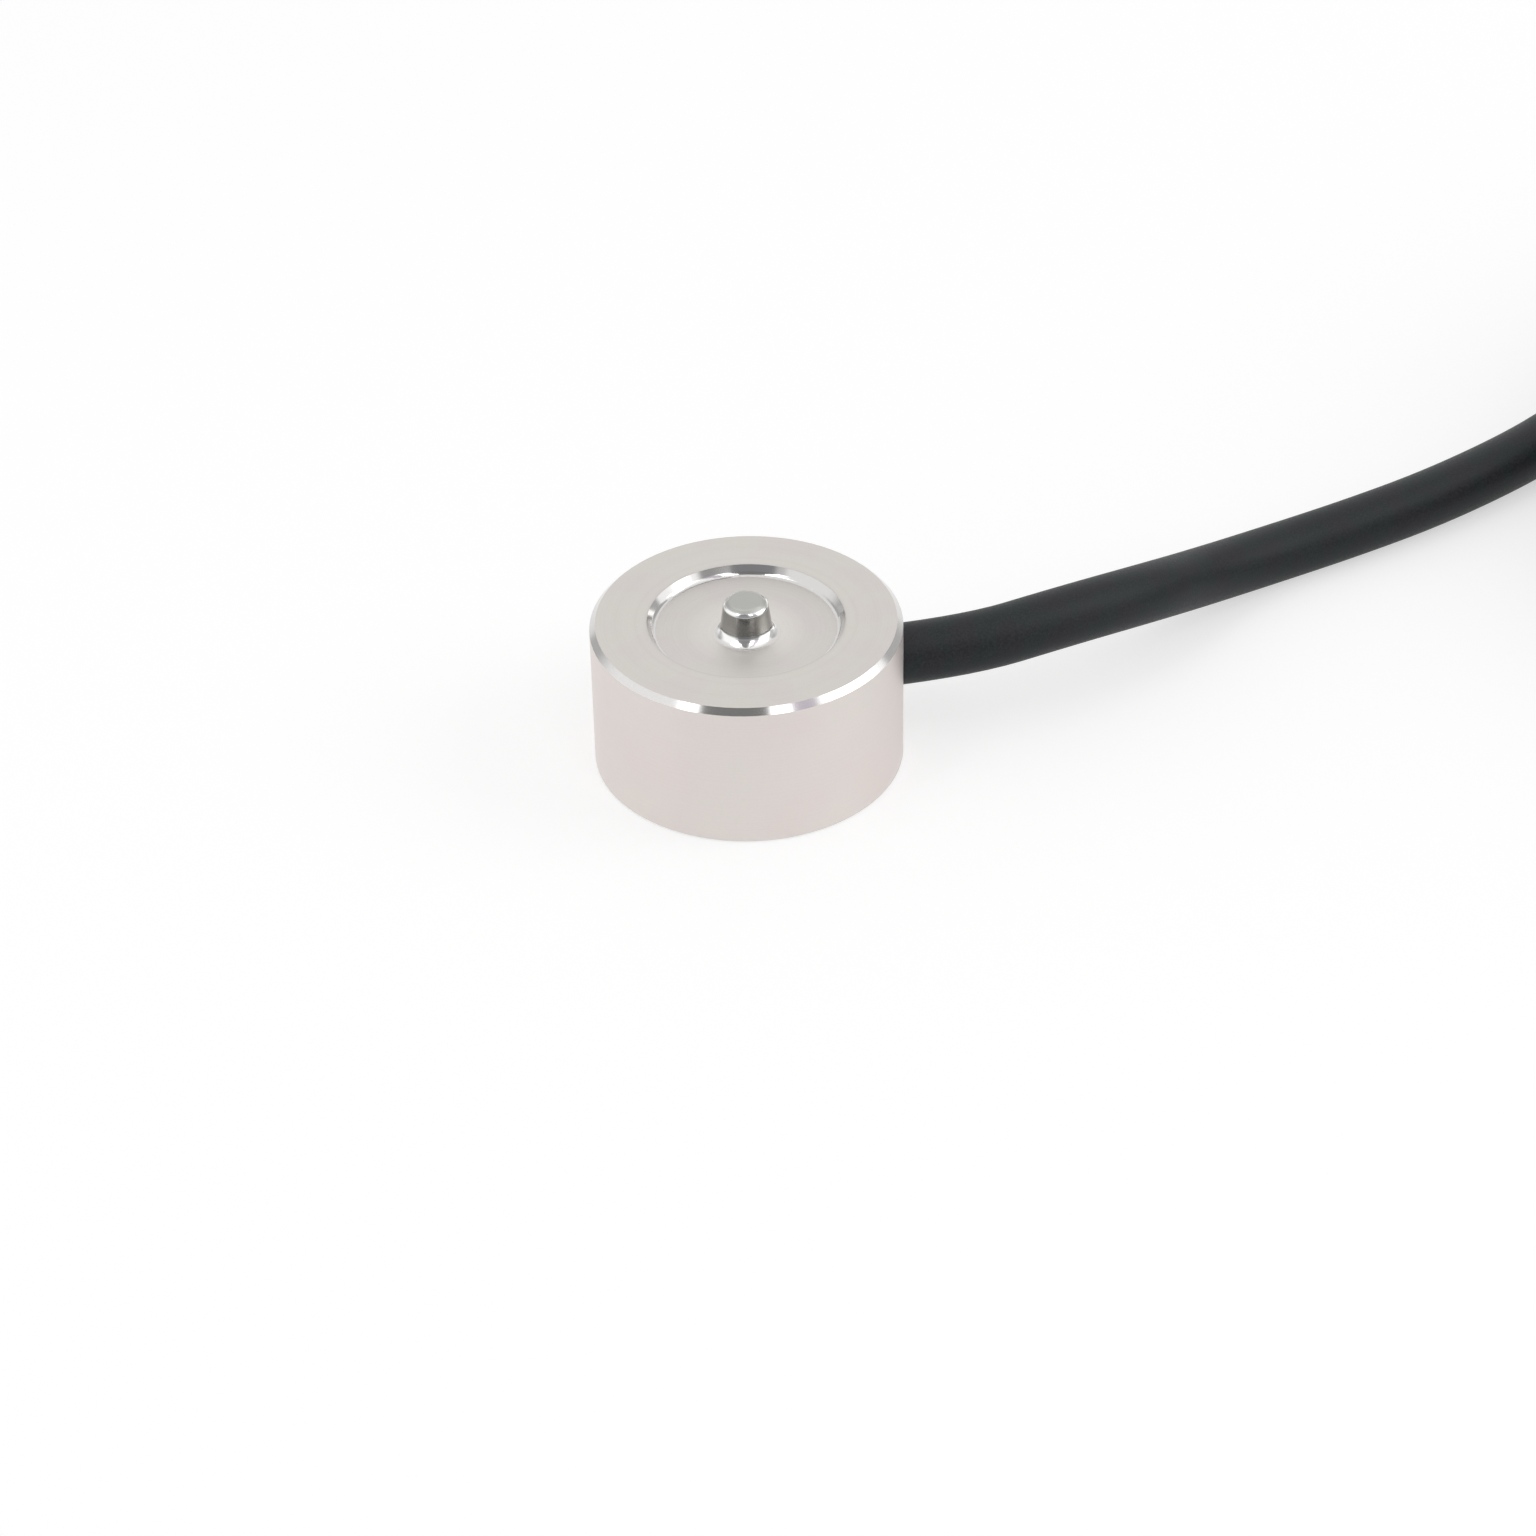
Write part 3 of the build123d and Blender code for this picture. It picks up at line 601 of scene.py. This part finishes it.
def chip(name, along_x):
    """Dark glazed resistor body between two tinned end caps."""
    glaze = ((0.03, 0.03, 0.035), (0.05, 0.05, 0.055))
    cap_color = (0.70, 0.70, 0.71)
    roughness = (0.25, 0.4)
    grain_depth = 0.006
    surface = Surface(name)
    x, y = surface.parts(surface.place)[:2]
    cap = surface.stretch(surface.math("ABSOLUTE", x if along_x else y), *CHIP_CAP)
    grain = surface.noise(12.0)
    surface.set(Base_Color=surface.mix(cap, surface.mix(grain, *glaze), cap_color), Metallic=cap,
                Roughness=surface.stretch(grain, *NOISE_SPAN, *roughness),
                Normal=surface.bump(grain, grain_depth))
    return surface.material


def paint(material, *names):
    """Gives CAD nodes their finished material."""
    for name in names:
        mesh = nodes[name].data
        mesh.materials.clear()
        mesh.materials.append(material)


def paint_cable(cable):
    """One jacket for the cord and its solids, and black ties and a black sleeve."""
    jacket_finish = jacket()
    paint(jacket_finish, "cable", "cable_coil")
    cable.data.materials.append(jacket_finish)
    paint(mottled("tie_nylon", (0.012, 0.012, 0.012), (0.020, 0.020, 0.020), roughness=0.42, scale=1.2,
                  depth=0.006), "coil_tie_1", "coil_tie_2")
    paint(mottled("shrink_sleeve", (0.010, 0.010, 0.010), (0.018, 0.018, 0.018), roughness=0.5, scale=1.5,
                  depth=0.02), "end_sleeve")


def paint_wiring():
    """The seal, the board with what is soldered on it, and the wires."""
    paint(mottled("hard_glue", (0.012, 0.012, 0.013), (0.022, 0.022, 0.022), roughness=0.3, scale=4.0,
                  depth=0.02), "cable_seal")
    paint(mottled("board_laminate", (0.02, 0.14, 0.06), (0.03, 0.19, 0.08), roughness=0.35, scale=5.0,
                  depth=0.004), "terminal_board")
    paint(mottled("bare_copper", (0.60, 0.29, 0.18), (0.72, 0.38, 0.25), roughness=0.35, scale=4.0,
                  depth=0.004, metallic=1.0), "board_copper")
    paint(mottled("solder", (0.60, 0.60, 0.62), (0.74, 0.74, 0.76), roughness=0.22, scale=5.0,
                  depth=0.02, metallic=1.0), "board_solder")
    paint(mottled("enamelled_wire", (0.36, 0.11, 0.05), (0.50, 0.17, 0.08), roughness=0.3, depth=0.004,
                  metallic=0.6), "gauge_wires")
    paint(tinned_strands(), "inner_core_ends", "outer_core_ends", "drain_wire")
    paint(chip("chip_ceramic_across", along_x=True), "zero_resistor", "span_resistor_2")
    paint(chip("chip_ceramic_along", along_x=False), "span_resistor_1")


def paint_gauges():
    """Amber films with foils on them."""
    film = mottled("gauge_film", (0.45, 0.16, 0.02), (0.56, 0.22, 0.03), roughness=0.25,
                   depth=0.002, coat=0.3)
    foil = mottled("gauge_foil", (0.50, 0.47, 0.42), (0.62, 0.59, 0.54), roughness=0.35, scale=6.0,
                   depth=0.001, metallic=1.0)
    for number in range(1, 5):
        paint(film, f"gauge_film_{number}")
        paint(foil, f"gauge_grid_{number}")


def paint_cores():
    """The insulation of the four cores, inside the cell and at the cable's end."""
    core_colors = {
        "red": ((0.42, 0.012, 0.012), (0.52, 0.02, 0.018)),
        "black": ((0.010, 0.010, 0.010), (0.018, 0.018, 0.018)),
        "green": ((0.010, 0.18, 0.035), (0.015, 0.24, 0.05)),
        "white": ((0.72, 0.72, 0.70), (0.80, 0.80, 0.78)),
    }
    for color, (dark, light) in core_colors.items():
        insulation = mottled(f"core_{color}", dark, light, roughness=0.38, scale=2.0, depth=0.006)
        paint(insulation, f"inner_core_{color}", f"outer_core_{color}")


def make_floor():
    """A plain pale floor that keeps the soft shadow of the part."""
    half = FLOOR_SIZE / 2
    corners = [(-half, -half, 0), (half, -half, 0), (half, half, 0), (-half, half, 0)]
    mesh = bpy.data.meshes.new("floor")
    mesh.from_pydata(corners, [], [(0, 1, 2, 3)])
    floor = bpy.data.objects.new("floor", mesh)
    bpy.context.scene.collection.objects.link(floor)
    surface = Surface("floor", FLOOR_COLOR, roughness=1.0)
    ray = surface.add("LightPath").outputs
    seen = surface.math("MAXIMUM", ray["Is Camera Ray"], ray["Is Transmission Ray"])
    seen = surface.math("MAXIMUM", seen, ray["Is Glossy Ray"])
    surface.set(Specular_IOR_Level=0.0, Emission_Color=(1, 1, 1),
                Emission_Strength=surface.times(seen, FLOOR_LIFT))
    mesh.materials.append(surface.material)


def softbox(name, azimuths, elevations, brightness):
    """A rectangular lamp aimed at the cell, filling these angles as seen from it."""
    turn = radians(sum(azimuths) / 2 + CAMERA_TURN)
    rise = radians(sum(elevations) / 2)
    outwards = Vector((sin(turn) * cos(rise), -cos(turn) * cos(rise), sin(rise)))
    lamp = bpy.data.lights.new(name, "AREA")
    lamp.shape = "RECTANGLE"
    lamp.size = 2 * SOFTBOX_DISTANCE * cos(rise) * tan(radians(azimuths[1] - azimuths[0]) / 2)
    lamp.size_y = 2 * SOFTBOX_DISTANCE * tan(radians(elevations[1] - elevations[0]) / 2)
    lamp.energy = brightness * pi * lamp.size * lamp.size_y
    obj = bpy.data.objects.new(name, lamp)
    facing = outwards.to_track_quat("Z", "Y").to_matrix().to_4x4()
    obj.matrix_world = Matrix.Translation(outwards * SOFTBOX_DISTANCE) @ facing
    obj.visible_camera = False
    bpy.context.scene.collection.objects.link(obj)


def light_world():
    """Surroundings that the camera sees white, and that gloss sees by their azimuth and elevation."""
    world = bpy.data.worlds.new("studio")
    bpy.context.scene.world = world
    world.use_nodes = True
    sky = Nodes(world.node_tree)
    x, y, z = sky.parts(sky.add("TexCoord").outputs["Generated"])
    turn = sky.math("DEGREES", sky.math("ARCTAN2", x, sky.times(y, -1.0)))
    azimuth = sky.minus(turn, CAMERA_TURN)
    elevation = sky.math("DEGREES", sky.math("ARCSINE", z))
    low = sky.ramp(azimuth, -180, 180, SURROUNDINGS_LOW)
    high = sky.ramp(azimuth, -180, 180, SURROUNDINGS_HIGH)
    level = sky.mix(sky.stretch(elevation, *LOW_TO_HIGH), low, high)
    ray = sky.add("LightPath").outputs
    level = sky.mix(ray["Is Diffuse Ray"], level, (ROOM_LIGHT, ROOM_LIGHT, ROOM_LIGHT))
    seen = sky.math("MAXIMUM", ray["Is Camera Ray"], ray["Is Transmission Ray"])
    background = sky.tree.nodes["Background"]
    sky.join(background.inputs["Color"], sky.mix(seen, level, (1, 1, 1)))
    background.inputs["Strength"].default_value = 1.0


def light_studio():
    """The surroundings and the softboxes."""
    light_world()
    for name, (azimuths, elevations, brightness) in SOFTBOXES.items():
        softbox(name, azimuths, elevations, brightness)


place_camera()
paint(TurnedSteel().material, "sensor_body")
paint(cover_steel(), "base_cover")
paint_cable(make_cable())
paint_wiring()
paint_gauges()
paint_cores()
make_floor()
light_studio()
bpy.context.scene.view_settings.view_transform = "Standard"
